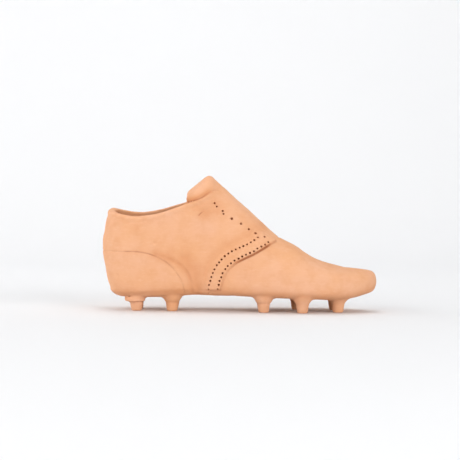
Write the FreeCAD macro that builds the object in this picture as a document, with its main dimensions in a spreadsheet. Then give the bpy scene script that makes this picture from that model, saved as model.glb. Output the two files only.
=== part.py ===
"""A football boot hand-built in unglazed clay: wall slabs on a sole slab, pressed-on trim, ten studs.

Frame: +X towards the toe, +Y towards the inner side of the foot, +Z up.  The studs stand on z = 0,
and the origin is below the middle of the boot's bounding box.  All sizes are in millimetres.
"""
import FreeCAD
import Part
import math
import os
import Sketcher
from FreeCAD import Vector

doc = FreeCAD.newDocument("clay_boot")

# ---------------------------------------------------------------------------------------------
# Driving dimensions
# ---------------------------------------------------------------------------------------------
SIZES = {
    "boot_length": 274.0,        # heel to toe tip
    "ball_width": 87.0,          # across the ball of the foot
    "heel_width": 66.0,          # across the heel, and the diameter of its round back
    "wall_thickness": 6.0,
    "sole_thickness": 5.5,
    "counter_proud": 0.9,        # how far the heel counter and its strip stand out of the wall
    "counter_depth": 2.2,        # how far they are pressed into it
    "strip_groove": 0.9,         # bare wall left between the two
    "band_proud": 1.8,           # the same two for the punched band
    "band_depth": 1.5,
    "band_width": 14.5,
    "vamp_overlap": 7.0,         # how far the vamp reaches back under the band
    "roll_proud": 0.5,           # the roll round the collar overhangs the wall by this on both sides
    "roll_height": 5.0,
    "tongue_tuck": 3.5,          # thickness of the tongue where it lies under the quarters
    "stud_height": 10.2,
    "stud_tip_radius": 5.2,
    "stud_root_radius": 6.8,
    "stud_edge": 0.8,            # rounding of the tip
    "pad_root_radius": 7.3,
    "pad_top_radius": 10.6,
    "pad_height": 7.0,           # before the sole is cut out of it
    "disc_radius": 9.8,          # the rear heel studs stand on plain discs
    "eyelet_radius": 1.15,
    "eyelet_depth": 4.2,
    "punch_radius": 0.8,
    "punch_depth": 2.6,
    "shift_along": 0.892,        # these two put the middle of the bounding box on the origin
    "shift_across": -5.344,
}

sheet = doc.addObject("Spreadsheet::Sheet", "sizes")
for row, (name, value) in enumerate(SIZES.items(), start=1):
    sheet.set(f"A{row}", name)
    sheet.set(f"B{row}", str(value))
    sheet.setAlias(f"B{row}", name)
doc.recompute()


def size(name):
    """The value of a driving dimension, read back from the sheet."""
    return float(sheet.get(name))


LENGTH = size("boot_length")
BALL = size("ball_width") / 2
HEEL = size("heel_width") / 2
WALL = size("wall_thickness")
SHIFT = Vector(size("shift_along"), size("shift_across"), 0)
FLOOR_SKIN = 2.0                 # the inner forms keep this far off the underside
BACK_SEAM = 2.5                  # where the two quarters meet behind the heel
SIDE_REACH = 90.0                # half length of a cutter that runs right across the boot

# ---------------------------------------------------------------------------------------------
# The closed form of the boot: a loft of sections from heel to toe
# ---------------------------------------------------------------------------------------------
# Each station: place along the boot (0 heel, 1 toe); height of the underside, the top and the widest
# line over the ground; half widths on the outer and inner side, as a share of the ball's; how far
# the middle swings inwards; and how square the section is above and below its widest line.
STATIONS = [
    (0.0041, 50.0, 79.5, 66.0, 0.196, 0.196, 0.0, 2.0, 2.1),
    (0.0161, 37.0, 93.0, 62.0, 0.379, 0.379, 0.0, 2.0, 2.5),
    (0.0353, 20.0, 106.0, 57.0, 0.536, 0.536, 0.0, 2.0, 3.0),
    (0.0602, 15.8, 119.0, 51.0, 0.657, 0.657, 0.0, 2.0, 3.6),
    (0.0893, 15.2, 133.0, 47.0, 0.720, 0.720, 0.0, 2.1, 4.1),
    (0.1204, 15.0, 142.0, 45.0, 0.745, 0.745, 0.0, 2.1, 4.4),
    (0.165, 15.0, 147.0, 44.0, 0.757, 0.757, 0.0, 2.2, 4.5),
    (0.228, 15.4, 148.0, 44.0, 0.760, 0.760, 0.0, 2.2, 4.5),
    (0.323, 17.6, 146.0, 42.0, 0.750, 0.740, 0.0, 2.1, 4.5),
    (0.396, 18.0, 133.0, 40.0, 0.770, 0.770, 1.0, 2.0, 4.5),
    (0.505, 17.2, 107.5, 38.0, 0.850, 0.830, 2.0, 2.0, 4.5),
    (0.578, 16.2, 90.0, 36.0, 0.920, 0.900, 3.0, 2.0, 4.5),
    (0.644, 15.4, 74.5, 35.0, 0.980, 0.970, 4.0, 2.0, 4.5),
    (0.695, 14.8, 67.3, 34.0, 1.010, 1.000, 5.0, 2.1, 4.5),
    (0.761, 14.1, 55.5, 33.0, 1.000, 0.990, 6.5, 2.2, 4.5),
    (0.834, 13.4, 47.6, 32.0, 0.930, 0.915, 8.2, 2.3, 4.0),
    (0.881, 13.9, 44.4, 31.5, 0.850, 0.835, 9.2, 2.3, 3.8),
    (0.9197, 15.6, 43.5, 31.0, 0.750, 0.740, 10.2, 2.3, 3.4),
    (0.953, 18.3, 42.4, 30.5, 0.610, 0.605, 11.2, 2.3, 2.9),
    (0.9785, 20.4, 41.0, 30.3, 0.430, 0.430, 12.0, 2.1, 2.4),
    (0.9945, 24.7, 36.5, 30.3, 0.220, 0.220, 12.4, 2.0, 2.0),
]
HEEL_POLE = Vector(0, 0, 68.0)
TOE_POLE = Vector(0, 12.6, 30.3)
SECTION_POINTS = 32
SEAM_ANGLE = -1.9                # the sections close under the floor, clear of every cutting plane


def along(share):
    """Place along the boot, from a share of its length."""
    return (share - 0.5) * LENGTH


def section(station, offset):
    """One closed section, moved out of its surface by offset, or into it where that is negative."""
    share, low, high, wide, outer, inner, swing, roof, floor = station
    at_heel = share < 0.5
    fullness = min(1.0, outer * BALL / (HEEL if at_heel else BALL))
    facing = math.sqrt(1.0 - fullness**2) * (-1 if at_heel else 1)
    x = along(share) + offset * facing
    spread = offset * fullness
    points = []
    for i in range(SECTION_POINTS):
        angle = SEAM_ANGLE + 2 * math.pi * i / SECTION_POINTS
        across, up = math.cos(angle), math.sin(angle)
        half = (inner if across > 0 else outer) * BALL + spread
        rise = high - wide + spread if up > 0 else wide - low + max(spread, -FLOOR_SKIN)
        power = roof if up > 0 else floor
        reach = (abs(across / half) ** power + abs(up / rise) ** power) ** (-1 / power)
        points.append(Vector(x, swing + reach * across, wide + reach * up))
    places = [i / SECTION_POINTS for i in range(SECTION_POINTS + 1)]
    curve = Part.BSplineCurve()
    curve.interpolate(Points=points, PeriodicFlag=True, Parameters=places)
    return Part.Wire(curve.toShape())


def closed_form(name, offset):
    """The whole boot as one closed solid; the slabs are cut from several of these."""
    heel = Part.Vertex(HEEL_POLE + Vector(along(0) - offset, 0, 0))
    toe = Part.Vertex(TOE_POLE + Vector(along(1) + offset, 0, 0))
    wires = [section(station, offset) for station in STATIONS]
    form = doc.addObject("Part::Feature", name)
    form.Shape = Part.makeLoft([heel] + wires + [toe], True, False)
    return form


outer_form = closed_form("outer_form", 0.0)
inner_form = closed_form("inner_form", -WALL)
tuck_form = closed_form("tuck_form", -WALL - size("tongue_tuck"))
band_top_form = closed_form("band_top_form", size("band_proud"))
band_bed_form = closed_form("band_bed_form", -size("band_depth"))
counter_top_form = closed_form("counter_top_form", size("counter_proud"))
counter_bed_form = closed_form("counter_bed_form", -size("counter_depth"))
roll_top_form = closed_form("roll_top_form", size("roll_proud"))
roll_bed_form = closed_form("roll_bed_form", -WALL - size("roll_proud"))

# ---------------------------------------------------------------------------------------------
# Outlines of the slabs, drawn on the boot's side view (x, z) and cut right across it
# ---------------------------------------------------------------------------------------------
BACK, FRONT, LOW, HIGH = -160.0, 160.0, -20.0, 175.0
UNDERSIDE = [(BACK, 15.0), (-90.0, 15.0), (-52.0, 17.5), (-20.0, 17.6), (25.0, 15.9),
             (70.0, 13.9), (98.0, 13.4), (115.0, 15.2), (128.0, 19.5), (FRONT, 34.0)]
TOPLINE = [(BACK, 101.0), (-132.0, 99.8), (-117.0, 95.8), (-101.0, 94.3), (-84.0, 96.6),
           (-62.0, 103.4), (-41.0, 111.6), (-27.0, 118.6)]
INSTEP_EDGE = [(-27.0, 118.6), (36.2, 71.1), (100.0, 23.2)]
THROAT = (48.0, 86.7)            # the tongue ends on a line from the instep edge to here
TUCK_EDGE = [(-27.0, 98.6), (26.6, 58.3)]
BAND_FRONT = [(46.0, 76.8), (36.2, 71.1), (25.4, 64.8), (14.6, 58.4), (4.8, 53.6), (-3.9, 48.9),
              (-10.6, 42.3), (-15.2, 33.5), (-17.8, 23.0), (-18.6, 10.0)]
COUNTER_EDGE = [(BACK, 59.4), (-118.0, 59.4), (-99.0, 59.2), (-84.0, 55.7), (-70.4, 48.4),
                (-61.2, 38.5), (-56.0, 30.0), (-52.5, 10.0)]
STRIP_EDGE = [(-82.5, 57.0), (-69.0, 53.0), (-57.6, 47.3), (-51.4, 40.6), (-47.6, 33.0),
              (-44.5, 10.0)]
# The folded end of the tongue: place along the boot, top, lower edges, half width and thickness
FOLD = [
    (-25.0, 129.6, 113.0, 19.0, 6.0),
    (-30.0, 133.9, 111.5, 21.0, 7.0),
    (-37.0, 130.6, 108.5, 23.0, 8.0),
    (-44.0, 124.6, 106.0, 24.0, 8.4),
    (-49.5, 119.7, 104.0, 23.0, 8.0),
    (-52.7, 115.6, 104.5, 18.5, 6.5),
]
EYELETS = [(-23.9, 106.7), (-16.7, 99.3), (-7.7, 93.1), (1.5, 88.5), (9.5, 82.6), (16.4, 78.7),
           (25.3, 75.3)]
STUDS = {                        # place along the boot, then across it on the outer and inner side
    "heel_rear": (-99.4, -14.0, 14.0),
    "heel_front": (-65.9, -15.0, 15.0),
    "waist": (25.0, -21.0, 24.0),
    "ball": (63.5, -23.0, 25.0),
    "toe": (99.6, -8.0, 24.0),
}
SIDES = {"lateral": -1, "medial": 1}


def at(point, lift=0.0):
    """A point of the side view, in space."""
    return Vector(point[0], 0, point[1] + lift)


def flowing(points, lift=0.0):
    """One smooth edge through points of the side view."""
    curve = Part.BSplineCurve()
    curve.interpolate([at(p, lift) for p in points])
    return curve.toShape()


def straight(*points):
    """Straight edges from point to point of the side view."""
    return [Part.makeLine(at(a), at(b)) for a, b in zip(points, points[1:])]


def beside(points, distance):
    """The same line moved sideways, to its right as it is drawn."""
    moved = []
    for i, point in enumerate(points):
        before, after = points[max(i - 1, 0)], points[min(i + 1, len(points) - 1)]
        dx, dz = after[0] - before[0], after[1] - before[1]
        scale = distance / math.hypot(dx, dz)
        moved.append((point[0] + dz * scale, point[1] - dx * scale))
    return moved


def cutter(name, edges):
    """A solid with a closed loop of side view edges as its outline, right across the boot."""
    outline = doc.addObject("Part::Feature", name + "_outline")
    outline.Shape = Part.Face(Part.Wire(Part.__sortEdges__(edges)))
    solid = doc.addObject("Part::Extrusion", name)
    solid.Base = outline
    solid.DirMode = "Custom"
    solid.Dir = Vector(0, 1, 0)
    solid.LengthFwd = SIDE_REACH
    solid.LengthRev = SIDE_REACH
    return solid


def half_space(name, side):
    """Everything on one side of the seam up the back of the heel."""
    block = doc.addObject("Part::Box", name)
    block.Length = FRONT - BACK
    block.Width = SIDE_REACH
    block.Height = HIGH - LOW
    block.Placement.Base = Vector(BACK, BACK_SEAM - (SIDE_REACH if side < 0 else 0), LOW)
    return block


def common(name, base, *others):
    """What all of the shapes share, taken two at a time."""
    for i, other in enumerate(others, start=1):
        last = i == len(others)
        result = doc.addObject("Part::Common", name if last else f"{name}_common_{i}")
        result.Base = base
        result.Tool = other
        result.Refine = False
        base = result
    return base


def cut(name, base, *tools):
    """The base without any of the tools."""
    for i, tool in enumerate(tools, start=1):
        last = i == len(tools)
        result = doc.addObject("Part::Cut", name if last else f"{name}_cut_{i}")
        result.Base = base
        result.Tool = tool
        result.Refine = False
        base = result
    return base


def fuse(name, *shapes):
    """All of the shapes as one."""
    joint = doc.addObject("Part::MultiFuse", name)
    joint.Shapes = list(shapes)
    joint.Refine = False
    return joint


SOLE = size("sole_thickness")
ROLL = size("roll_height")
BAND_BACK = beside(BAND_FRONT, size("band_width"))
VAMP_BACK = beside(BAND_FRONT, size("vamp_overlap"))
STRIP_BACK = beside(COUNTER_EDGE[3:], -size("strip_groove"))
sole_line = [(x, z + SOLE) for x, z in UNDERSIDE]
roll_line = [(x, z - ROLL) for x, z in TOPLINE]
rim_front = TOPLINE[-1]

under_sole_top = cutter("under_sole_top", [flowing(sole_line)] + straight(
    sole_line[-1], (FRONT, LOW), (BACK, LOW), sole_line[0]))
over_sole_top = cutter("over_sole_top", [flowing(sole_line)] + straight(
    sole_line[-1], (FRONT, HIGH), (BACK, HIGH), sole_line[0]))
under_edges = cutter("under_edges", [flowing(TOPLINE)] + straight(
    *INSTEP_EDGE, (100.0, LOW), (BACK, LOW), TOPLINE[0]))
under_roll_and_instep = cutter("under_roll_and_instep", [flowing(roll_line)] + straight(
    roll_line[-1], *INSTEP_EDGE, (100.0, LOW), (BACK, LOW), roll_line[0]))
roll_zone = cutter("roll_zone", [flowing(TOPLINE), flowing(roll_line)]
                   + straight(TOPLINE[-1], roll_line[-1]) + straight(TOPLINE[0], roll_line[0]))
tongue_zone = cutter("tongue_zone", straight(
    rim_front, INSTEP_EDGE[1], THROAT, (THROAT[0], HIGH), (rim_front[0], HIGH), rim_front))
tuck_zone = cutter("tuck_zone", straight(
    *TUCK_EDGE, THROAT, (THROAT[0], HIGH), (rim_front[0], HIGH), TUCK_EDGE[0]))
behind_vamp = cutter("behind_vamp", [flowing(VAMP_BACK)] + straight(
    VAMP_BACK[-1], (BACK, 10.0), (BACK, HIGH), (VAMP_BACK[0][0], HIGH), VAMP_BACK[0]))
ahead_of_quarters = cutter("ahead_of_quarters", [flowing(VAMP_BACK)] + straight(
    VAMP_BACK[-1], (FRONT, 10.0), (FRONT, VAMP_BACK[0][1]), VAMP_BACK[0]))
band_zone = cutter("band_zone", [flowing(BAND_FRONT), flowing(BAND_BACK)]
                   + straight(BAND_FRONT[0], BAND_BACK[0]) + straight(BAND_FRONT[-1], BAND_BACK[-1]))
counter_zone = cutter("counter_zone", [flowing(COUNTER_EDGE)] + straight(
    COUNTER_EDGE[-1], (BACK, 10.0), COUNTER_EDGE[0]))
strip_zone = cutter("strip_zone", [flowing(STRIP_EDGE), flowing(STRIP_BACK)]
                    + straight(STRIP_EDGE[0], STRIP_BACK[0]) + straight(STRIP_EDGE[-1], STRIP_BACK[-1]))
halves = {side: half_space("half_" + side, sign) for side, sign in SIDES.items()}

# ---------------------------------------------------------------------------------------------
# The slabs of the upper and the sole
# ---------------------------------------------------------------------------------------------


def layer(name, outside, inside):
    """The clay between two closed forms, one inside the other."""
    skins = [outside.Shape.Shells[0], inside.Shape.Shells[0].reversed()]
    wall = doc.addObject("Part::Feature", name)
    wall.Shape = Part.makeSolid(Part.makeCompound(skins))
    return wall


shell = layer("shell", outer_form, inner_form)
roll_layer = layer("roll_layer", roll_top_form, roll_bed_form)
tongue_layer = layer("tongue_layer", outer_form, tuck_form)

parts = {}
parts["sole_slab"] = common("sole_slab", outer_form, under_sole_top)
parts["collar_roll"] = common("collar_roll", roll_layer, roll_zone)
band_recess = cut("band_recess", band_zone, band_bed_form)
vamp_area = common("vamp_area", cut("ahead_of_tongue", ahead_of_quarters, tongue_zone), over_sole_top)
parts["vamp"] = cut("vamp", common("vamp_wall", shell, vamp_area), band_recess)


def fold_section(x, top, edge, half, thickness):
    """One arched section of the tongue's folded end."""
    spread, steps = math.radians(72), 6
    outside, inside = [], []
    for i in range(-steps, steps + 1):
        angle = spread * i / steps
        y = half * math.sin(angle) / math.sin(spread)
        z = edge + (top - edge) * (math.cos(angle) - math.cos(spread)) / (1 - math.cos(spread))
        outside.append(Vector(x, y, z))
        inside.append(Vector(x, y - thickness * 0.8 * math.sin(angle), z - thickness * math.cos(angle)))
    ring = outside + inside[::-1]
    places = [i / len(ring) for i in range(len(ring) + 1)]
    curve = Part.BSplineCurve()
    curve.interpolate(Points=ring, PeriodicFlag=True, Parameters=places)
    return Part.Wire(curve.toShape())


fold = doc.addObject("Part::Feature", "fold")
fold.Shape = Part.makeLoft([fold_section(*row) for row in FOLD], True, False)
fold_clear = cut("fold_clear", fold, under_edges)
room_for_quarters = cut("room_for_quarters", under_edges, inner_form)
strap = cut("strap", common("strap_wall", tongue_layer, tuck_zone), room_for_quarters)
parts["tongue"] = fuse("tongue", strap, fold_clear)

# ---------------------------------------------------------------------------------------------
# Eyelets and the punched holes of the band: blind pokes square to the surface
# ---------------------------------------------------------------------------------------------


def poke(form, point, side, radius, depth):
    """A pin square to the form's surface at a point of the side view, on one side of the boot."""
    skin = form.Shape.Faces[0].Surface
    middle = at(point)
    line = Part.LineSegment(middle, middle + Vector(0, side * SIDE_REACH, 0))
    hit = line.intersectCS(skin)[0][0]
    spot = Vector(hit.X, hit.Y, hit.Z)
    normal = skin.normal(*skin.parameter(spot))
    if normal.y * side < 0:
        normal = normal * -1
    return Part.makeCylinder(radius, depth + 3.0, spot + normal * 3.0, normal * -1)


def pokes(name, form, points, side, radius, depth):
    """One tool with all the pins of a row."""
    tool = doc.addObject("Part::Feature", name)
    tool.Shape = Part.makeCompound([poke(form, point, side, radius, depth) for point in points])
    return tool


def row_of_holes(inset, count, pitch, start):
    """Points spaced along the band, an even distance from its front edge."""
    edge = flowing(beside(BAND_FRONT, inset))
    spots = [edge.valueAt(edge.getParameterByLength(start + pitch * i)) for i in range(count)]
    return [(p.x, p.z) for p in spots]


punch_spots = row_of_holes(3.0, 18, 4.25, 18.0) + row_of_holes(12.0, 20, 4.15, 25.0)
def walled(name, outside, area, *tools):
    """The part of a form that lies in an area, without the tools."""
    return cut(name, common(name + "_block", outside, area), *tools)


counter_halves = []
for side, sign in SIDES.items():
    half = halves[side]
    eyelet_pins = pokes("eyelet_pins_" + side, outer_form, EYELETS, sign,
                        size("eyelet_radius"), size("eyelet_depth"))
    punch_pins = pokes("punch_pins_" + side, band_top_form, punch_spots, sign,
                       size("punch_radius"), size("punch_depth"))
    zones = {"counter": counter_zone, "trim": strip_zone, "band": band_zone}
    beds = {"counter": counter_bed_form, "trim": counter_bed_form, "band": band_bed_form}
    recesses = []
    for layer_name, zone in zones.items():
        room = common(f"{layer_name}_room_{side}", zone, half)
        recesses.append(cut(f"{layer_name}_recess_{side}", room, beds[layer_name]))
    quarter_area = common("quarter_area_" + side, under_roll_and_instep, behind_vamp, over_sole_top, half)
    parts["quarter_" + side] = walled("quarter_" + side, outer_form, quarter_area, inner_form,
                                      *recesses, eyelet_pins)
    counter_area = common("counter_area_" + side, counter_zone, over_sole_top, half)
    counter_halves.append(walled("counter_" + side, counter_top_form, counter_area, counter_bed_form))
    trim_area = common("trim_area_" + side, strip_zone, over_sole_top, half)
    parts["counter_trim_" + side] = walled("counter_trim_" + side, counter_top_form, trim_area,
                                           counter_bed_form)
    band_area = common("band_area_" + side, band_zone, under_edges, over_sole_top, half)
    parts["brogue_band_" + side] = walled("brogue_band_" + side, band_top_form, band_area,
                                          band_bed_form, punch_pins, eyelet_pins)
parts["heel_counter"] = fuse("heel_counter", *counter_halves)

# ---------------------------------------------------------------------------------------------
# Studs, each on its own pad
# ---------------------------------------------------------------------------------------------


def stud_body(label, x, y):
    """A short tapered stud with its tip edge taken off, turned about its own axis."""
    body = doc.addObject("PartDesign::Body", label)
    plane = [f for f in body.Origin.OriginFeatures if f.Role == "XZ_Plane"][0]
    profile = body.newObject("Sketcher::SketchObject", label + "_profile")
    profile.AttachmentSupport = [(plane, "")]
    profile.MapMode = "FlatFace"
    tip, root = size("stud_tip_radius"), size("stud_root_radius")
    edge, height = size("stud_edge"), size("stud_height")
    corners = [(0, 0), (tip - edge, 0), (tip, edge), (root, height), (0, height)]
    for i, corner in enumerate(corners):
        after = corners[(i + 1) % len(corners)]
        profile.addGeometry(Part.LineSegment(Vector(*corner, 0), Vector(*after, 0)), False)
    for i in range(len(corners)):
        profile.addConstraint(Sketcher.Constraint("Coincident", i, 2, (i + 1) % len(corners), 1))
    profile.addConstraint(Sketcher.Constraint("Coincident", 0, 1, -1, 1))
    profile.addConstraint(Sketcher.Constraint("Horizontal", 0))
    profile.addConstraint(Sketcher.Constraint("Horizontal", 3))
    profile.addConstraint(Sketcher.Constraint("Vertical", 4))
    bound = [("DistanceX", -1, 1, 1, 2, "stud_tip_radius"), ("DistanceY", -1, 1, 1, 2, "stud_edge"),
             ("DistanceX", -1, 1, 2, 2, "stud_root_radius"), ("DistanceY", -1, 1, 2, 2, "stud_height")]
    for kind, a, a_end, b, b_end, name in bound:
        index = profile.addConstraint(Sketcher.Constraint(kind, a, a_end, b, b_end, size(name)))
        profile.renameConstraint(index, name)
        profile.setExpression(f"Constraints.{name}", f"sizes.{name}")
    flat = Sketcher.Constraint("DistanceX", -1, 1, 0, 2, tip - edge)
    index = profile.addConstraint(flat)
    profile.renameConstraint(index, "flat")
    profile.setExpression("Constraints.flat", "sizes.stud_tip_radius - sizes.stud_edge")
    turned = body.newObject("PartDesign::Revolution", label + "_turned")
    turned.Profile = profile
    turned.ReferenceAxis = (profile, ["V_Axis"])
    turned.Angle = 360
    body.Placement.Base = Vector(x, y, 0)
    return body


def pad_cone(label, x, y, root_name):
    """The flare between a stud and the sole, before the sole is cut out of it."""
    cone = doc.addObject("Part::Cone", label + "_cone")
    cone.setExpression("Radius1", f"sizes.{root_name}")
    cone.setExpression("Radius2", "sizes.pad_top_radius")
    cone.setExpression("Height", "sizes.pad_height")
    cone.Placement.Base = Vector(x, y, size("stud_height"))
    return cone


for place, (x, *across) in STUDS.items():
    for side, y in zip(SIDES, across):
        stud_name, pad_name = f"{place}_stud_{side}", f"{place}_stud_pad_{side}"
        parts[stud_name] = stud_body(stud_name, x, y)
        root = "disc_radius" if place == "heel_rear" else "pad_root_radius"
        cone = pad_cone(pad_name, x, y, root)
        parts[pad_name] = cut(pad_name, cone, outer_form)

for name, part in parts.items():
    part.Label = name
    part.Placement.Base = part.Placement.Base + SHIFT

# ---------------------------------------------------------------------------------------------
# Check everything, then write one STEP file for each piece
# ---------------------------------------------------------------------------------------------
doc.recompute()


def meshed_volume(shape):
    """Volume inside a triangle mesh of the shape, to show that its faces really close it."""
    points, triangles = shape.tessellate(0.3)
    total = 0.0
    for a, b, c in triangles:
        total += points[a].dot(points[b].cross(points[c])) / 6
    return total


for item in doc.Objects:
    if "Invalid" in item.State or "Error" in item.State:
        raise RuntimeError(f"{item.Name} did not build: {item.State}")
for name, part in parts.items():
    if part.Shape.isNull() or not part.Shape.isValid() or len(part.Shape.Solids) != 1:
        raise RuntimeError(f"{name} is not one valid solid")
    if abs(meshed_volume(part.Shape) / part.Shape.Volume - 1) > 0.03:
        raise RuntimeError(f"{name} does not close: {meshed_volume(part.Shape)} {part.Shape.Volume}")

os.makedirs("parts", exist_ok=True)
for name, part in parts.items():
    part.Shape.exportStep(f"parts/{name}.step")
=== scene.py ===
"""The clay football boot: one mass of clay, taken apart into the pieces it was built from."""
import math

import bmesh
import bpy
import numpy as np
from mathutils import Matrix, Vector, noise
from mathutils.bvhtree import BVHTree


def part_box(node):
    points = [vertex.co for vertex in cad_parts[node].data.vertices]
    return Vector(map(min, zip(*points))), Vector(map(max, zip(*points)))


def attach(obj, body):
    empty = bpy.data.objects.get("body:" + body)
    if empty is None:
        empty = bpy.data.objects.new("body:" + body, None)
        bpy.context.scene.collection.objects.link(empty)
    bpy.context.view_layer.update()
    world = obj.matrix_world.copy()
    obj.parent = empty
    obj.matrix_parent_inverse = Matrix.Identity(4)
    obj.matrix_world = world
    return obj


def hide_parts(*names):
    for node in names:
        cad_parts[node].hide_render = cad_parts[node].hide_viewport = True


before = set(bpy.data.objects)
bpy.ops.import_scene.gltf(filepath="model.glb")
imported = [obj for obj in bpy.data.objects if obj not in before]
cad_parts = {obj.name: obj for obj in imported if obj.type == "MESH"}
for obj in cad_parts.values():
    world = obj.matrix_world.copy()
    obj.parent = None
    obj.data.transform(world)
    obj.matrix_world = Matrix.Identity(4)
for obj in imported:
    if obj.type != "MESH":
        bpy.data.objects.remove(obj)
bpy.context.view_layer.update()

MM = 0.001
VOXEL = 0.75 * MM           # grain of the one mass of clay
SAME_POINT = 0.002 * MM     # corners nearer than this are one corner
SIDES = (-1, 1)             # the outer side of the boot, then the inner one

# The boot's own axes start at the middle of its length; a stud gives where that is in the frame.
BALL_STUD = np.array([63.5, -23.0, 0.0])
low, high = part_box("ball_stud_lateral")
ORIGIN = np.array([(low.x + high.x) / 2, (low.y + high.y) / 2, 0.0]) - BALL_STUD * MM

# Lines of the boot on its side view, in millimetres
UNDERSIDE = [(-160.0, 15.0), (-90.0, 15.0), (-52.0, 17.5), (-20.0, 17.6), (25.0, 15.9),
             (70.0, 13.9), (98.0, 13.4), (115.0, 15.2), (128.0, 19.5), (160.0, 34.0)]
TOPLINE = [(-140.0, 99.8), (-132.0, 99.8), (-117.0, 95.8), (-101.0, 94.3), (-84.0, 96.6),
           (-62.0, 103.4), (-41.0, 111.6), (-27.0, 118.6)]
INSTEP_EDGE = [(-27.0, 118.6), (36.2, 71.1)]
BAND_FRONT = [(36.2, 71.1), (25.4, 64.8), (14.6, 58.4), (4.8, 53.6), (-3.9, 48.9), (-10.6, 42.3),
              (-15.2, 33.5), (-17.8, 23.0)]
BAND_BEFORE, BAND_AFTER = (46.0, 76.8), (-18.6, 10.0)
BAND_WIDTH = 14.5
COUNTER_EDGE = [(-145.0, 59.4), (-118.0, 59.4), (-99.0, 59.2), (-84.0, 55.7), (-70.4, 48.4),
                (-61.2, 38.5), (-56.0, 30.0), (-53.6, 20.0)]
STRIP_EDGE = [(-82.5, 57.0), (-69.0, 53.0), (-57.6, 47.3), (-51.4, 40.6), (-47.6, 33.0),
              (-45.4, 21.0)]
VALLEY = [(-40.5, 18.0), (-41.5, 30.0), (-45.5, 42.0), (-54.0, 52.0)]
BACK_RIDGE = [(-35.7, 30.2), (-33.5, 42.0), (-28.8, 55.1)]
UPRIGHT_RIDGE = [(-56.0, 57.0), (-55.6, 70.0), (-55.0, 84.0)]
FLAP_END = [(-27.0, 134.0), (-24.8, 128.0), (-23.2, 121.5)]
FLAP_EDGE = [(-51.5, 108.6), (-44.2, 110.6), (-38.0, 113.0), (-32.7, 116.5), (-26.9, 119.9),
             (-21.5, 120.5)]
FOLD_LINE = [(-49.5, 118.0), (-44.5, 122.2), (-39.6, 126.0), (-35.3, 130.0)]
SCRATCH = [(-40.5, 95.9), (-38.0, 98.2), (-35.2, 100.3), (-31.8, 102.1)]
HEEL_BACK_Z = [23.0, 29.0, 37.0, 44.0, 52.0, 59.5, 65.0, 75.0, 84.5, 94.0, 102.0]
HEEL_BACK_X = [-128.1, -130.7, -132.7, -134.4, -135.7, -136.5, -136.9, -136.7, -135.7, -133.2,
               -130.4]
EYELETS = [(-23.9, 106.7), (-16.7, 99.3), (-7.7, 93.1), (1.5, 88.5), (9.5, 82.6), (16.4, 78.7),
           (25.3, 75.3)]
STUD_ROWS = ("heel_rear", "heel_front", "waist", "ball", "toe")
SOLE_THICKNESS = 5.5


def select_only(*things):
    """Leaves just these objects selected, the first of them active."""
    bpy.ops.object.select_all(action="DESELECT")
    for thing in things:
        thing.select_set(True)
    bpy.context.view_layer.objects.active = things[0]


def joined(things):
    """Joins objects into one."""
    select_only(*things)
    bpy.ops.object.join()
    return bpy.context.view_layer.objects.active


def apply(piece, kind, **settings):
    """Adds a modifier to a piece and applies it."""
    select_only(piece)
    modifier = piece.modifiers.new(kind.title(), kind)
    for name, value in settings.items():
        setattr(modifier, name, value)
    bpy.ops.object.modifier_apply(modifier=modifier.name)


def vertex_array(mesh, what):
    """A mesh's vertex places or normals as an array."""
    values = np.zeros(len(mesh.vertices) * 3, np.float32)
    if what == "co":
        mesh.vertices.foreach_get("co", values)
    else:
        mesh.vertex_normals.foreach_get("vector", values)
    return values.reshape(-1, 3).astype(float)


def place_vertices(mesh, places):
    """Moves all of a mesh's vertices."""
    mesh.vertices.foreach_set("co", places.astype(np.float32).ravel())
    mesh.update()


def in_boot_axes(places):
    """Places in millimetres along the boot's own axes."""
    return (places - ORIGIN) / MM


def stud_centre(stud, side):
    """The middle of a stud, in the boot's own axes."""
    low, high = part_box(f"{stud}_stud_{side}")
    return in_boot_axes(np.array([(low.x + high.x) / 2, (low.y + high.y) / 2, 0.0]))


def smoothed(line, step=1.5):
    """Close-set points on a rounded line through the given ones."""
    points = [np.array(p) for p in line]
    fine = []
    for i in range(len(points) - 1):
        a, b = points[max(i - 1, 0)], points[i]
        c, d = points[i + 1], points[min(i + 2, len(points) - 1)]
        count = max(2, int(np.linalg.norm(c - b) / step))
        for t in np.linspace(0, 1, count, endpoint=False):
            fine.append(0.5 * (2 * b + (c - a) * t + (2 * a - 5 * b + 4 * c - d) * t**2
                               + (3 * b - a - 3 * c + d) * t**3))
    return np.array(fine + [points[-1]])


def beside(line, distance):
    """A fine line moved sideways, to its right as it is drawn."""
    run = np.gradient(line, axis=0)
    run /= np.linalg.norm(run, axis=1)[:, None]
    return line + distance * np.column_stack([run[:, 1], -run[:, 0]])


def distance_to(line, spots):
    """How far each spot of the side view is from a fine line, and on which side."""
    best = np.full(len(spots), np.inf)
    sign = np.ones(len(spots))
    for a, b in zip(line[:-1], line[1:]):
        run = b - a
        share = np.clip(((spots - a) @ run) / (run @ run), 0, 1)
        away = spots - a - share[:, None] * run
        gap = np.einsum("ij,ij->i", away, away)
        nearer = gap < best
        best[nearer] = gap[nearer]
        sign[nearer] = np.sign(run[0] * away[nearer, 1] - run[1] * away[nearer, 0])
    return np.sqrt(best), sign


def eased(share):
    """A share from 0 to 1 that starts and ends gently."""
    return share * share * (3 - 2 * share)


def ramp(value, start, end):
    """0 before the start, 1 past the end and even in between."""
    return np.clip((value - start) / (end - start), 0, 1)


def fade(distance, reach):
    """1 on a line, falling smoothly to 0 at its reach."""
    return eased(np.clip(1 - np.asarray(distance) / reach, 0, 1))


def wave(distance, height, width, at=0.0):
    """The height of a rounded ridge, or of a groove where the height is below 0."""
    return height * np.exp(-((distance - at) / width) ** 2)


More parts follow.
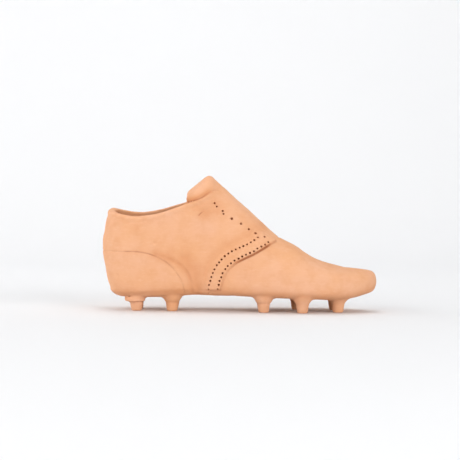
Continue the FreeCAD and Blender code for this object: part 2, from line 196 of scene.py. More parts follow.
band_front = smoothed(BAND_FRONT)
band_back = beside(band_front, BAND_WIDTH)
counter_edge = smoothed(COUNTER_EDGE)
strip_edge = smoothed(STRIP_EDGE)
topline = smoothed(TOPLINE)
underside = smoothed(UNDERSIDE)
valley = smoothed(VALLEY)
flap_edge = smoothed(FLAP_EDGE, step=0.7)
scratch = smoothed(SCRATCH, step=0.5)


def rim_height(x):
    """How high the rim is at a place along the boot."""
    return np.interp(x, topline[:, 0], topline[:, 1])


# ---------------------------------------------------------------------------------------------
# One mass of clay from all the CAD pieces
# ---------------------------------------------------------------------------------------------
bpy.ops.object.select_all(action="DESELECT")
node_names = sorted(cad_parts)
copies = []
corners, triangles, owners = [], [], []
for index, name in enumerate(node_names):
    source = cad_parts[name]
    copy = bpy.data.objects.new("copy_" + name, source.data.copy())
    bpy.context.scene.collection.objects.link(copy)
    select_only(copy)
    bpy.ops.object.mode_set(mode="EDIT")
    bpy.ops.mesh.select_all(action="SELECT")
    bpy.ops.mesh.remove_doubles(threshold=SAME_POINT)
    bpy.ops.object.mode_set(mode="OBJECT")
    start = len(corners)
    corners += [tuple(v.co) for v in copy.data.vertices]
    copy.data.calc_loop_triangles()
    for triangle in copy.data.loop_triangles:
        triangles.append(tuple(start + v for v in triangle.vertices))
        owners.append(index)
    copies.append(copy)
surfaces = BVHTree.FromPolygons(corners, triangles)


def row_of_holes(inset, count, pitch, start):
    """Points spaced along the band, an even distance from its front edge."""
    line = beside(smoothed([BAND_BEFORE] + BAND_FRONT + [BAND_AFTER]), inset)
    lengths = np.concatenate([[0], np.cumsum(np.linalg.norm(np.diff(line, axis=0), axis=1))])
    spots = start + pitch * np.arange(count)
    return [(np.interp(s, lengths, line[:, 0]), np.interp(s, lengths, line[:, 1])) for s in spots]


PUNCHED = (row_of_holes(inset=3.0, count=18, pitch=4.25, start=18.0)
           + row_of_holes(inset=12.0, count=20, pitch=4.15, start=25.0))

FROM_THE_SIDE = 80.0        # a ray towards the boot starts this far out
FEELERS = 12                # how many rays feel the skin round a spot
IN_A_HOLE = -0.25           # a ray that lands deeper than this has met a hole


def skin_at(tree, side, spot, ring):
    """The place and outward direction of the skin round a spot of the side view."""
    hits = []
    for turn in np.linspace(0, 2 * math.pi, FEELERS, endpoint=False):
        start = ORIGIN + np.array([spot[0] + ring * math.cos(turn), side * FROM_THE_SIDE,
                                   spot[1] + ring * math.sin(turn)]) * MM
        place, _, _, _ = tree.ray_cast(Vector(start), Vector((0, -side, 0)))
        if place is not None:
            hits.append(tuple(in_boot_axes(np.array(place))))
    hits = np.array(hits)
    steps = np.column_stack([np.ones(len(hits)), hits[:, 0] - spot[0], hits[:, 2] - spot[1]])
    for _ in range(3):
        fit, _, _, _ = np.linalg.lstsq(steps, hits[:, 1], rcond=None)
        keep = side * (hits[:, 1] - steps @ fit) > IN_A_HOLE
        if keep.all() or keep.sum() < 5:
            break
        steps, hits = steps[keep], hits[keep]
    normal = Vector((-side * fit[1], side, -side * fit[2])).normalized()
    return Vector(ORIGIN + np.array([spot[0], fit[0], spot[1]]) * MM), normal


def peg(pattern, place, normal, radius, depth):
    """A copy of a pattern, standing square to the skin."""
    copy = bpy.data.objects.new("peg", pattern.data.copy())
    bpy.context.scene.collection.objects.link(copy)
    turn = normal.to_track_quat("Z", "Y").to_matrix().to_4x4()
    size = Matrix.Diagonal((radius * MM, radius * MM, depth * MM, 1))
    copy.data.transform(Matrix.Translation(place) @ turn @ size)
    return copy


# The moulded holes are stopped up first, and poked again by hand further on.
# Each row gives the spots, the ring that is felt round them, and the stopper's radius and depth.
STOPPED_UP = ((EYELETS, 2.1, 1.65, 4.8), (PUNCHED, 2.0, 1.25, 3.2))
bpy.ops.object.select_all(action="DESELECT")
bpy.ops.mesh.primitive_cylinder_add(vertices=16, radius=1.0, depth=1.0)
stopper = bpy.context.active_object
stopper.data.transform(Matrix.Translation((0, 0, -0.5)))
for side in SIDES:
    for spots, ring, radius, depth in STOPPED_UP:
        for spot in spots:
            place, normal = skin_at(surfaces, side, spot, ring)
            copies.append(peg(stopper, place, normal, radius, depth))
bpy.data.objects.remove(stopper)

clay = joined(copies)
clay.name = "clay"
clay.data.materials.clear()
apply(clay, "REMESH", mode="VOXEL", voxel_size=VOXEL, adaptivity=0.0, use_smooth_shade=True)

# ---------------------------------------------------------------------------------------------
# Joins rubbed smooth
# ---------------------------------------------------------------------------------------------


def soften(piece, weights, repeats):
    """Smooths a piece where the weights say."""
    group = piece.vertex_groups.new(name="soft")
    levels = np.round(weights * 10).astype(int)
    for level in range(1, 11):
        chosen = np.nonzero(levels == level)[0]
        if len(chosen):
            group.add(chosen.tolist(), level / 10, "REPLACE")
    apply(piece, "SMOOTH", factor=0.5, iterations=repeats, vertex_group="soft")
    piece.vertex_groups.clear()


places_mm = in_boot_axes(vertex_array(clay.data, "co"))
x, y, z = places_mm.T
side_view = places_mm[:, [0, 2]]
ground = np.interp(x, underside[:, 0], underside[:, 1])
from_instep, _ = distance_to(smoothed(INSTEP_EDGE), side_view)
from_band_back, _ = distance_to(band_back, side_view)
from_band_front, _ = distance_to(band_front, side_view)
from_under_rim, _ = distance_to(topline - [0, 5.0], side_view)
from_flap_end, _ = distance_to(smoothed(FLAP_END), side_view)

on_pads = np.zeros(len(x))
for stud in STUD_ROWS:
    crisp_disc = stud == "heel_rear"
    for side in ("lateral", "medial"):
        centre = stud_centre(stud, side)
        radius = np.hypot(x - centre[0], y - centre[1])
        flare = ramp(radius, 18, 13) * ramp(z, 8.5, 11.5) * ramp(z, 22, 18)
        on_pads = np.maximum(on_pads, flare * (0.25 if crisp_disc else 1.0))
joins = np.maximum.reduce([
    fade(np.abs(z - (ground + SOLE_THICKNESS)), 6.0) * (z > 12),
    fade(from_instep, 7.0),
    fade(from_band_back, 7.0) * (from_instep > 2),
    fade(from_under_rim, 4.0) * 0.7 * (x < -30),
    on_pads,
])
soften(clay, joins * (1 - fade(from_band_front, 3.0)), repeats=45)
rim_top = 0.6 * ramp(z - rim_height(x), -3.0, -1.0) * ramp(x, -50.0, -55.0)
soften(clay, np.maximum(fade(from_flap_end, 6.0), rim_top), repeats=60)

# The back of the heel is trimmed, or filled out, to its own curve
BACK_STARTS = -116.0        # the back of the heel is behind this
BACK_MIDDLE_Y = -2.0
BACK_ROUNDNESS = 72.0       # twice the radius of the heel, seen from above
TRIM_TO = 0.9               # the trimmed clay may stand this far behind the curve
places = vertex_array(clay.data, "co")
x, y, z = in_boot_axes(places).T
off_middle = y - BACK_MIDDLE_Y
limit = np.interp(z, HEEL_BACK_Z, HEEL_BACK_X) - TRIM_TO + off_middle ** 2 / BACK_ROUNDNESS
places[:, 0] += np.where(x < BACK_STARTS, np.maximum(x, limit) - x, 0.0) * MM
heights = np.arange(66.0, 102.0, 2.0)
reached = np.array([x[(np.abs(z - height) < 1.5) & (x < -110)].min() for height in heights])
short = reached - np.interp(heights, HEEL_BACK_Z, HEEL_BACK_X)
fill_out = np.clip(np.interp(z, heights, short), 0, 2.5) * ramp(z, 60.0, 68.0)
places[:, 0] -= fill_out * ramp(x, -100.0, -125.0) * MM
place_vertices(clay.data, places)
behind = (ramp(x, BACK_STARTS, BACK_STARTS - 6.0)
          * fade(np.hypot(off_middle, (z - 64.0) * 0.55), 26.0))
soften(clay, np.clip(behind * 1.8, 0, 1), repeats=120)
soften(clay, np.full(len(x), 0.5), repeats=4)

# ---------------------------------------------------------------------------------------------
# Pressed lines and the unevenness of hand work
# ---------------------------------------------------------------------------------------------
places = vertex_array(clay.data, "co")
normals = vertex_array(clay.data, "normal")
places_mm = in_boot_axes(places)
x, y, z = places_mm.T
side_view = places_mm[:, [0, 2]]

# 1 on the outer faces of the walls, 0 on their inner faces
middle_y = np.interp(x, [-20, 100, 137], [0, 8, 12.6])
outward = np.abs(normals[:, 1]) * np.sign(normals[:, 1] * (y - middle_y))
outer_face = np.clip(outward * 3, 0, 1)
near_side = outer_face * (y < 0)
from_heel = np.column_stack([x + 100.0, y - BACK_MIDDLE_Y])
from_heel /= np.linalg.norm(from_heel, axis=1)[:, None] + 1e-6
heel_face = np.clip(3 * np.einsum("ij,ij->i", normals[:, :2], from_heel), 0, 1) * (x < -100)
round_face = np.maximum(outer_face, heel_face)

SECOND_LUMPS = Vector((7, 3, 1))
lumps = np.array([
    noise.noise(Vector(p) * 0.045) + 0.7 * noise.noise(Vector(p) * 0.11 + SECOND_LUMPS)
    for p in places_mm])
grain = np.array([noise.noise(Vector(p) * 0.42) for p in places_mm])
push = 0.42 * lumps + 0.09 * grain

# The step ahead of the band is crisp at the top and rubbed out lower down
from_band_front, band_side = distance_to(band_front, side_view)
ahead = outer_face * (band_side < 0)
crisp = ramp(x, -8.0, 0.0)
push -= ahead * wave(from_band_front, height=0.35 + 0.45 * crisp, width=1.3 - 0.7 * crisp, at=0.7)

# The counter's edge, the crescent strip and the hollow and ridges ahead of it
from_counter, _ = distance_to(counter_edge, side_view)
push -= round_face * wave(from_counter, height=0.40 * (0.7 + 0.5 * lumps), width=0.8, at=0.3)
RIDGES = ((strip_edge, -0.50, 1.8), (valley, -1.1, 4.2), (smoothed(BACK_RIDGE), 0.38, 1.3),
          (smoothed(UPRIGHT_RIDGE), 0.30, 2.0))
for line, height, width in RIDGES:
    push += outer_face * wave(distance_to(line, side_view)[0], height, width)

# The rolled rim
under_rim = rim_height(x) - z
along_rim = ramp(x, -26.0, -34.0) * round_face
push += along_rim * wave(under_rim, height=0.50, width=2.0, at=2.6)
push -= along_rim * wave(under_rim, height=0.40, width=1.8, at=6.8)

# The tongue's folded flap lies over the rim: a dark gap under its edge, a thick lip above it
from_flap, flap_side = distance_to(flap_edge, side_view)
along_flap = ramp(x, -20.0, -34.0) * outer_face
push -= along_flap * wave(from_flap, height=1.25, width=0.85)
push += along_flap * wave(from_flap, height=0.75, width=2.2, at=3.2) * (flap_side > 0)
push += along_flap * wave(from_flap, height=0.30, width=1.6, at=2.6) * (flap_side < 0)
from_fold, _ = distance_to(smoothed(FOLD_LINE, step=0.7), side_view)
push -= outer_face * wave(from_fold, height=0.35, width=0.6)

# Marks of the nails and tools that shaped it
from_scratch, _ = distance_to(scratch, side_view)
nail = near_side * np.maximum(ramp(x, -33.0, -39.0), 0.25)
push -= nail * wave(from_scratch, height=0.60, width=0.6)
push += nail * wave(from_scratch, height=0.28, width=0.8, at=1.7)
DIMPLE = (-84.0, 67.5)
PITS = ((DIMPLE, 0.5, 1.1), ((-121.0, 36.5), 0.7, 1.1), ((11.5, 42.6), 0.45, 1.0),
        ((-7.8, 34.5), 0.45, 1.0))
for spot, depth, width in PITS:
    push -= near_side * wave(np.hypot(x - spot[0], z - spot[1]), depth, width)
from_dimple = np.hypot(x - DIMPLE[0], z - DIMPLE[1])
push += near_side * wave(from_dimple, height=0.22, width=0.7, at=2.6)
from_seam = np.abs(z - ground - 5.0)
at_waist = fade(np.abs(x + 32.0), 30.0)
push -= at_waist * outer_face * wave(from_seam, height=0.28, width=0.8)

# Clay raised round each needle poke
for side in SIDES:
    on_side = outer_face * (np.sign(y) == side)
    for spot in PUNCHED + EYELETS:
        from_poke = np.hypot(x - spot[0], z - spot[1])
        push += on_side * wave(from_poke, height=0.10, width=0.5, at=1.7)
places += normals * (push * np.maximum(ramp(z, 0.0, 6.0), 0.1))[:, None] * MM

# Where the hands pulled it: a deeper sole, a fuller toe, leaning studs, a higher peak and far rim
pull = np.zeros_like(places)
deepen = np.interp(x, [-140, -66, -35, 25, 63, 100, 137], [1.5, 1.7, 2.1, 1.8, 1.2, 1.0, 0.6])
pull[:, 2] -= deepen * ramp(z, 8.5, 12.5) * ramp(z - ground, 11.0, 2.0)
toe_out = 2.1 * eased(ramp(x, 72.0, 132.0))
heel_in = 0.9 * ramp(x, -95.0, -135.0)
pull[:, 0] += ramp(z, 12.0, 17.0) * (toe_out + heel_in)


def shift_stud(stud, side, reach, edge, heights, shifts):
    """Pulls a stud and its pad towards the heel, by a shift for each height."""
    centre = stud_centre(stud, side)
    near_stud = ramp(np.hypot(x - centre[0], y - centre[1]), reach, reach - edge)
    pull[:, 0] -= near_stud * np.interp(z, heights, shifts)


for side in ("lateral", "medial"):
    shift_stud("heel_rear", side, 19.0, 5.0, [0.0, 7.5, 10.0, 14.0, 18.0],
               [1.9, 2.1, 3.6, 3.8, 0.0])
shift_stud("ball", "medial", 20.0, 7.0, [0.0, 11.0, 17.0], [4.0, 4.0, 0.0])
shift_stud("toe", "medial", 20.0, 7.0, [0.0, 11.0, 17.0], [2.2, 2.2, 0.0])
pull[:, 2] += 0.9 * ramp(z, 105.0, 130.0) * (x > -60)
far_rim = ramp(y, -6.0, 10.0) * ramp(z - rim_height(x), -24.0, -2.0)
far_rim *= np.interp(x, [-140, -128, -112, -75, -50, -40], [0.2, 0.9, 1.0, 0.8, 0.45, 0.0])
pull[:, 2] += 3.0 * far_rim
places += pull * MM
place_vertices(clay.data, places)

x, y, z = in_boot_axes(vertex_array(clay.data, "co")).T
soften(clay, ramp(z, 6.5, 9.5) * ramp(z, 19.0, 16.0) * (x > -85), repeats=26)

# ---------------------------------------------------------------------------------------------
# Needle pokes: the eyelets and the two punched rows of each band
# ---------------------------------------------------------------------------------------------
PUNCH_RADII, PUNCH_DEPTH = (1.12, 1.42), 2.4
EYELET_RADII, EYELET_DEPTH = (1.50, 1.72), 3.4
# The top two eyelets were each poked twice: place, radius, depth
SECOND_EYELET = [((-17.0, 100.4), 1.35, 2.4)]
OTHER_POKES = [((-24.8, 107.8), 1.35, 3.2), ((-22.7, 105.0), 1.15, 2.8), ((-16.3, 97.3), 1.2, 2.2)]
UNSTEADY_HAND = 0.2

rng = np.random.default_rng(7)
surface = BVHTree.FromObject(clay, bpy.context.evaluated_depsgraph_get())
bpy.ops.object.select_all(action="DESELECT")
bpy.ops.mesh.primitive_cone_add(vertices=14, radius1=0.55, radius2=1.12, depth=1.0)
needle = bpy.context.active_object
needle.data.transform(Matrix.Translation((0, 0, -0.1)))
pins = []
for side in SIDES:
    pokes = [(spot, rng.uniform(*PUNCH_RADII), PUNCH_DEPTH) for spot in PUNCHED]
    pokes += SECOND_EYELET
    pokes += [(spot, rng.uniform(*EYELET_RADII), EYELET_DEPTH) for spot in EYELETS[2:]]
    pokes += OTHER_POKES
    for spot, radius, depth in pokes:
        spot = np.array(spot) + rng.normal(0, UNSTEADY_HAND, 2)
        place, normal = skin_at(surface, side, spot, ring=1.8)
        pins.append(peg(needle, place, normal, radius, 2 * depth))
bpy.data.objects.remove(needle)
pins = joined(pins)
apply(clay, "BOOLEAN", operation="DIFFERENCE", object=pins, solver="MANIFOLD")
bpy.data.objects.remove(pins)

# ---------------------------------------------------------------------------------------------
# Painted shade: darker along the creases and in the pokes
# ---------------------------------------------------------------------------------------------
places = vertex_array(clay.data, "co")
places_mm = in_boot_axes(places)
x, y, z = places_mm.T
side_view = places_mm[:, [0, 2]]
crease = np.zeros(len(x))
warmth = np.zeros(len(x))


def paint_shade(line, strength, width, at=0.0):
    """Paints shade along a pressed line."""
    away, _ = distance_to(line, side_view)
    np.maximum(crease, wave(away, strength, width, at), out=crease)


def paint_warm_shade(line, strength, width):
    """Paints shade round a line, as a deeper orange."""
    away, _ = distance_to(line, side_view)
    np.maximum(warmth, wave(away, strength, width), out=warmth)


def keep_on_clay(name, values):
    """Stores a value for each vertex, for the clay's finish to read."""
    attribute = clay.data.attributes.new(name, "FLOAT", "POINT")
    attribute.data.foreach_set("value", values.astype(np.float32))


# Painted shade along the pressed lines: the band's front edge, the counter's edge, the strip, the
# nail scratch and the flap's edge
crisp = ramp(x, -8.0, 2.0)
wander = np.clip(0.75 + 0.7 * np.array([noise.noise(Vector(p) * 0.13) for p in places_mm]), 0, 1)
paint_shade(band_front, (0.22 + 0.70 * crisp) * np.maximum(ramp(x, 34.0, 28.0), 0.3),
       width=0.9 - 0.15 * crisp, at=0.45)
along_counter = np.interp(x, [-135, -119, -112, -72, -56], [0.14, 0.20, 0.62, 0.58, 0.25])
paint_shade(counter_edge, along_counter * wander, width=0.6)
paint_shade(strip_edge, 0.16 * wander, width=1.5)
paint_shade(scratch, 0.5 * np.maximum(ramp(x, -35.0, -39.0), 0.15) * (y < 0), width=0.5)
paint_shade(flap_edge, np.interp(x, [-52, -46, -36, -24], [0.75, 0.6, 0.38, 0.12]), width=0.7)
crease *= np.abs(y) > 10

# Painted shade in the pokes: their walls are the places that now lie under the old skin, painted
# darker the deeper they lie
LOOK_FOR_SKIN = 6 * MM
JUST_UNDER = 0.12 * MM
FULLY_DARK = 0.9 * MM
for i, place in enumerate(places):
    _, _, _, gap = surface.find_nearest(Vector(place), LOOK_FOR_SKIN)
    if gap is not None and gap > JUST_UNDER:
        crease[i] = max(crease[i], min(1.0, gap / FULLY_DARK))
keep_on_clay("crease", crease)

# Painted shade in the hollows, under the flap's edge and low on the walls: a deeper, warmer orange
paint_warm_shade(valley, 0.60, width=9.0)
paint_warm_shade(strip_edge, 0.60, width=5.0)
paint_warm_shade(scratch + [7.0, 2.0], 0.50, width=8.0)
paint_warm_shade(flap_edge + [0.5, 2.5], 0.75 * ramp(x, -24.0, -32.0), width=3.2)
paint_warm_shade(underside + [0.0, 3.0], 0.40, width=4.0)
paint_warm_shade(band_back + [-4.0, 3.0], 0.40, width=6.0)
keep_on_clay("warmth", np.clip(warmth * (0.8 + 0.5 * wander), 0, 1))

# ---------------------------------------------------------------------------------------------
# The mass taken apart into the pieces it was built from
# ---------------------------------------------------------------------------------------------
LOOK_OFF = 1.2 * MM         # how far off a face its piece is looked for
LEAST_PATCH = 200           # a patch with fewer faces is a speck
OWN_VOTE = 1.2              # a face's own say, where each neighbour has 1

faces = clay.data.polygons
centres = np.zeros(len(faces) * 3, np.float32)
faces.foreach_get("center", centres)
facing = np.zeros(len(faces) * 3, np.float32)
faces.foreach_get("normal", facing)
just_off = (centres + LOOK_OFF * facing).reshape(-1, 3)
labels = np.array([owners[surfaces.find_nearest(Vector(c))[2]] for c in just_off])

# Faces that share an edge
loops = np.zeros(len(clay.data.loops), int)
clay.data.loops.foreach_get("edge_index", loops)
counts = np.zeros(len(faces), int)
faces.foreach_get("loop_total", counts)
face_of_loop = np.repeat(np.arange(len(faces)), counts)
order = np.argsort(loops, kind="stable")
same = np.nonzero(loops[order][1:] == loops[order][:-1])[0]
pairs = np.column_stack([face_of_loop[order[same]], face_of_loop[order[same + 1]]])
for _ in range(5):
    votes = np.zeros((len(faces), len(node_names)), np.float32)
    votes[np.arange(len(faces)), labels] = OWN_VOTE
    np.add.at(votes, (pairs[:, 0], labels[pairs[:, 1]]), 1)
    np.add.at(votes, (pairs[:, 1], labels[pairs[:, 0]]), 1)
    labels = votes.argmax(axis=1)


def patches(labels):
    """Numbers each patch of touching faces that belong to the same piece."""
    patch = np.arange(len(labels))
    first, second = pairs[labels[pairs[:, 0]] == labels[pairs[:, 1]]].T
    while True:
        before = patch.copy()
        lowest = np.minimum(patch[first], patch[second])
        np.minimum.at(patch, patch[first].copy(), lowest)
        np.minimum.at(patch, patch[second].copy(), lowest)
        patch = patch[patch]
        if (patch == before).all():
            return patch


# Specks of one piece inside another join the piece round them
for _ in range(2):
    patch = patches(labels)
    specks = np.bincount(patch, minlength=len(patch))[patch] < LEAST_PATCH
    at_edge = specks[pairs[:, 0]] != specks[pairs[:, 1]]
    inner = np.where(specks[pairs[:, 0]], pairs[:, 0], pairs[:, 1])[at_edge]
    outer = np.where(specks[pairs[:, 0]], pairs[:, 1], pairs[:, 0])[at_edge]
    found, place_in = np.unique(patch[inner], return_inverse=True)
    votes = np.zeros((len(found), len(node_names)), np.float32)
    np.add.at(votes, (place_in, labels[outer]), 1)
    chosen = np.isin(patch, found)
    labels[chosen] = votes.argmax(axis=1)[np.searchsorted(found, patch[chosen])]

mass = BVHTree.FromObject(clay, bpy.context.evaluated_depsgraph_get())
clay.data.materials.clear()
for name in node_names:
    clay.data.materials.append(bpy.data.materials.new("piece_" + name))
faces.foreach_set("material_index", labels)
select_only(clay)
bpy.ops.object.mode_set(mode="EDIT")
bpy.ops.mesh.select_all(action="SELECT")
bpy.ops.mesh.separate(type="MATERIAL")
bpy.ops.object.mode_set(mode="OBJECT")
pieces = {}
for piece in list(bpy.context.selected_objects):
    name = piece.data.materials[0].name.removeprefix("piece_")
    piece.name = name + "_clay"
    pieces[name] = piece

# How thick each piece is inside the clay, by the start of its name
SKINS = {"heel_counter": 2.6, "brogue_band": 2.8, "counter_trim": 2.4, "collar_roll": 2.2,
         "sole_slab": 2.4}
OTHER_SKINS = 2.7
TOO_SHALLOW = 0.3 * MM      # an inner corner must be at least this far inside the clay
PUSHED_INSIDE = 0.4 * MM    # and if it is not, it is put this far inside
CRUMB = 40                  # a loose island with fewer corners is a crumb
MANY_FACES = 60000          # a piece with more faces gets a coarser inside
KEPT_SHARE = 0.62
SHARP = math.radians(50)


def drop_crumbs(piece):
    """Deletes the small loose islands that separating leaves behind."""
    shape = bmesh.new()
    shape.from_mesh(piece.data)
    shape.verts.ensure_lookup_table()
    seen = set()
    dropped = []
    for vertex in shape.verts:
        if vertex.index in seen:
            continue
        island, queue = [vertex], [vertex]
        seen.add(vertex.index)
        while queue:
            for edge in queue.pop().link_edges:
                for other in edge.verts:
                    if other.index not in seen:
                        seen.add(other.index)
                        island.append(other)
                        queue.append(other)
        if len(island) < CRUMB:
            dropped += island
    bmesh.ops.delete(shape, geom=dropped, context="VERTS")
    shape.to_mesh(piece.data)
    shape.free()


def close_ends(piece):
    """Fills the open ends of a solid piece."""
    shape = bmesh.new()
    shape.from_mesh(piece.data)
    rim = [edge for edge in shape.edges if edge.is_boundary]
    bmesh.ops.holes_fill(shape, edges=rim, sides=0)
    shape.to_mesh(piece.data)
    shape.free()


def thicken(piece, skin):
    """Gives a piece an inner side that stays within the clay."""
    outside = len(piece.data.vertices)
    piece.vertex_groups.new(name="inside")
    apply(piece, "SOLIDIFY", thickness=skin * MM, offset=-1.0, use_rim=True,
          shell_vertex_group="inside")
    places = vertex_array(piece.data, "co")
    for i in range(outside, len(places)):
        spot, normal, _, _ = mass.find_nearest(Vector(places[i]))
        if (Vector(places[i]) - spot).dot(normal) > -TOO_SHALLOW:
            places[i] = spot - normal * PUSHED_INSIDE
    place_vertices(piece.data, places)
    if len(piece.data.polygons) > MANY_FACES:
        apply(piece, "DECIMATE", ratio=KEPT_SHARE, vertex_group="inside")
    piece.vertex_groups.clear()


for name, piece in sorted(pieces.items()):
    drop_crumbs(piece)
    if "stud" in name:
        close_ends(piece)
    else:
        thicken(piece, next((skin for start, skin in SKINS.items() if name.startswith(start)),
                            OTHER_SKINS))
    select_only(piece)
    bpy.ops.object.shade_smooth_by_angle(angle=SHARP)
    piece.data.materials.clear()

# ---------------------------------------------------------------------------------------------
# Fired clay
# ---------------------------------------------------------------------------------------------
OBJECT_PLACE = 3            # the output of the coordinate node that moves with the object
SINGLE_VALUE = 2            # the output of the attribute node that gives one number
BLENDED_COLOUR = 2          # the colour output of the mix node


class Value:
    """A shader socket that can be used in sums."""

    def __init__(self, make, socket):
        self.make = make
        self.socket = socket

    def _sum(self, operation, first, second):
        return self.make.add("ShaderNodeMath", {"operation": operation}, {0: first, 1: second})

    def __add__(self, other):
        return self._sum("ADD", self, other)

    __radd__ = __add__

    def __mul__(self, other):
        return self._sum("MULTIPLY", self, other)

    __rmul__ = __mul__

    def within(self, lowest, highest):
        """0 below the lowest value, 1 above the highest, even in between."""
        inputs = {0: self, 1: lowest, 2: highest}
        return self.make.add("ShaderNodeMapRange", {"clamp": True}, inputs)


class Finish:
    """A material and the nodes it is made of."""

    def __init__(self, name):
        self.material = bpy.data.materials.new(name)
        self.material.use_nodes = True
        self.tree = self.material.node_tree
        self.surface = self.tree.nodes["Principled BSDF"]

    def add(self, kind, settings, inputs, output=0):
        """One node with its settings and inputs; gives back one of its outputs."""
        node = self.tree.nodes.new(kind)
        for name, value in settings.items():
            setattr(node, name, value)
        self.fill(node, inputs)
        return Value(self, node.outputs[output])

    def fill(self, node, inputs):
        """Links or sets a node's sockets."""
        for name, value in inputs.items():
            if isinstance(value, Value):
                self.tree.links.new(value.socket, node.inputs[name])
            else:
                node.inputs[name].default_value = value

    def stored(self, name):
        """A value that was stored on the clay."""
        return self.add("ShaderNodeAttribute", {"attribute_name": name}, {}, SINGLE_VALUE)

    def noise(self, place, scale, detail, roughness=0.5):
        """A noise pattern between 0 and 1."""
        inputs = {"Vector": place, "Scale": scale, "Detail": detail, "Roughness": roughness}
        return self.add("ShaderNodeTexNoise", {}, inputs)

    def mix(self, share, first, second):
        """A blend of two colours."""
        blend = {0: share, 6: first, 7: second}
        return self.add("ShaderNodeMix", {"data_type": "RGBA"}, blend, BLENDED_COLOUR)


ORANGE = (0.785, 0.400, 0.208, 1.0)
PINK = (0.80, 0.435, 0.262, 1.0)
DEEP = (0.68, 0.29, 0.125, 1.0)
DUST = (0.85, 0.53, 0.35, 1.0)
# The dark brown of the painted shade in the creases and pokes
SHADE_UMBER = (0.30, 0.070, 0.016, 1.0)
LENGTHWAYS = (1.0, 1.0, 3.5)    # wiping draws the dust out along the boot


def fired_clay():
    """Unglazed terracotta: mottled by the firing and dusty on top, with painted shade: darker where
    it was pressed and in the pokes, a deeper orange in the hollows.
    """
    clay_finish = Finish("terracotta")
    place = clay_finish.add("ShaderNodeTexCoord", {}, {}, OBJECT_PLACE)
    drawn_out = clay_finish.add("ShaderNodeMapping", {}, {"Vector": place, "Scale": LENGTHWAYS})
    broad = clay_finish.noise(place, 22.0, 2.0)
    mottle = clay_finish.noise(place, 75.0, 4.0, 0.6)
    specks = clay_finish.noise(place, 900.0, 2.0, 0.7)
    grain = clay_finish.noise(place, 2600.0, 2.0, 0.6)
    wipes = clay_finish.noise(drawn_out, 160.0, 3.0, 0.6)
    colour = clay_finish.mix(broad.within(0.35, 0.65), ORANGE, PINK)
    # The last two blends are painted shade: a deeper orange in the hollows, a dark brown in the
    # creases and pokes
    for share, tone in ((mottle.within(0.45, 0.75) * 0.35, DEEP),
                        (wipes.within(0.5, 0.8) * 0.30, DUST),
                        (specks.within(0.62, 0.8) * 0.22, DEEP),
                        (clay_finish.stored("warmth") * 0.85, DEEP),
                        (clay_finish.stored("crease") * 0.92, SHADE_UMBER)):
        colour = clay_finish.mix(share, colour, tone)
    height = mottle * 0.35 + wipes * 0.25 + specks * 0.12 + grain * 0.06
    bump = clay_finish.add("ShaderNodeBump", {}, {
        "Height": height, "Strength": 0.55, "Distance": 0.6 * MM})
    rough = 0.78 + 0.16 * mottle.within(0.3, 0.7)
    clay_finish.fill(clay_finish.surface, {
        "Base Color": colour, "Roughness": rough, "Normal": bump, "Specular IOR Level": 0.25})
    return clay_finish.material


terracotta = fired_clay()
for name, piece in pieces.items():
    piece.data.materials.append(terracotta)
    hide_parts(name)
    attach(piece, "root")

# ---------------------------------------------------------------------------------------------
# The table it stands on, the light and the camera
# ---------------------------------------------------------------------------------------------
TABLE_SIZE = (14.0, 10.0, 1.0, 1.0)
TABLE_MIDDLE_Y = -3.4
BACK_EDGE_Y = 1.0           # only the table's back edge is behind this
WALL_HEIGHT = 4.0
SWEEP_WIDTH = 0.8


def paper(name, colour):
    """Matt white backdrop paper."""
    finish = Finish(name)
    finish.fill(finish.surface, {"Base Color": colour, "Roughness": 0.9, "Specular IOR Level": 0.1})
    return finish.material


bpy.ops.object.select_all(action="DESELECT")
bpy.ops.mesh.primitive_plane_add(size=1.0)
sweep = bpy.context.active_object
sweep.name = "backdrop"
sweep.data.transform(Matrix.Diagonal(TABLE_SIZE))
sweep.data.transform(Matrix.Translation((0, TABLE_MIDDLE_Y, 0)))
bpy.ops.object.mode_set(mode="EDIT")
shape = bmesh.from_edit_mesh(sweep.data)
for edge in shape.edges:
    edge.select_set(all(v.co.y > BACK_EDGE_Y for v in edge.verts))
bmesh.update_edit_mesh(sweep.data)
bpy.ops.mesh.extrude_region_move(TRANSFORM_OT_translate={"value": (0, 0, WALL_HEIGHT)})
bpy.ops.object.mode_set(mode="OBJECT")
apply(sweep, "BEVEL", width=SWEEP_WIDTH, segments=24, limit_method="ANGLE")
select_only(sweep)
bpy.ops.object.shade_smooth()
sweep.data.materials.append(paper("backdrop_paper", (0.845, 0.848, 0.856, 1.0)))


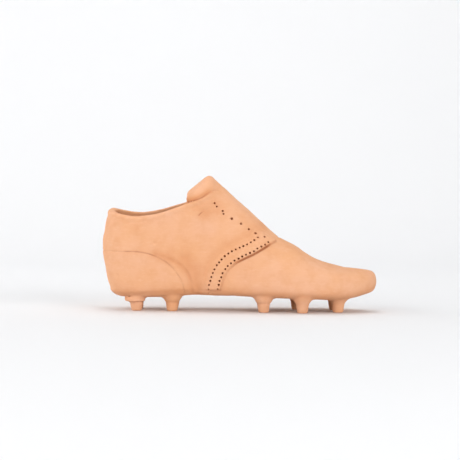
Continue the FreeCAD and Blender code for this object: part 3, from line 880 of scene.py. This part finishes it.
def softbox(name, place, aim, size, power, colour):
    """A large rectangular light."""
    light = bpy.data.lights.new(name, "AREA")
    light.shape = "RECTANGLE"
    light.size, light.size_y = size
    light.energy = power
    light.color = colour
    lamp = bpy.data.objects.new(name, light)
    bpy.context.scene.collection.objects.link(lamp)
    lamp.location = place
    lamp.rotation_euler = (Vector(aim) - Vector(place)).to_track_quat("-Z", "Y").to_euler()


WHITE, WARM_WHITE, COOL_WHITE = (1.0, 1.0, 1.0), (1.0, 0.99, 0.975), (0.98, 0.99, 1.0)
softbox("key_softbox", (-1.2, -1.7, 0.95), (0, 0, 0.06), (1.8, 1.2), 21.0, WARM_WHITE)
softbox("fill_softbox", (1.4, -1.6, 0.65), (0, 0, 0.06), (1.6, 1.1), 26.5, COOL_WHITE)
softbox("left_softbox", (-1.9, 0.0, 0.7), (0, 0, 0.06), (1.4, 1.1), 15.0, WHITE)
softbox("top_softbox", (0.2, 0.2, 2.0), (0, 0, 0.05), (2.2, 1.6), 18.5, WHITE)
softbox("wall_softbox", (0.0, 0.4, 0.95), (0, 1.6, 0.25), (2.4, 0.5), 2.7, WHITE)

world = bpy.data.worlds.new("studio")
world.use_nodes = True
world.node_tree.nodes["Background"].inputs["Color"].default_value = COOL_WHITE + (1.0,)
world.node_tree.nodes["Background"].inputs["Strength"].default_value = 1.08
bpy.context.scene.world = world
bpy.context.scene.view_settings.view_transform = "Standard"

CAMERA_DISTANCE = 2.0
CAMERA_HEIGHT = 0.157
AIM = Vector((-0.0085, 0.0, 0.0805))
ROLL = math.radians(0.75)
lens = bpy.data.cameras.new("camera")
lens.lens = 156.0
lens.sensor_width = 36.0
lens.clip_start = 0.05
lens.clip_end = 50.0
camera = bpy.data.objects.new("camera", lens)
bpy.context.scene.collection.objects.link(camera)
camera.location = (AIM.x, -CAMERA_DISTANCE, CAMERA_HEIGHT)
sight = (AIM - camera.location).to_track_quat("-Z", "Y")
camera.rotation_euler = (sight.to_matrix() @ Matrix.Rotation(ROLL, 3, "Z")).to_euler()
bpy.context.scene.camera = camera
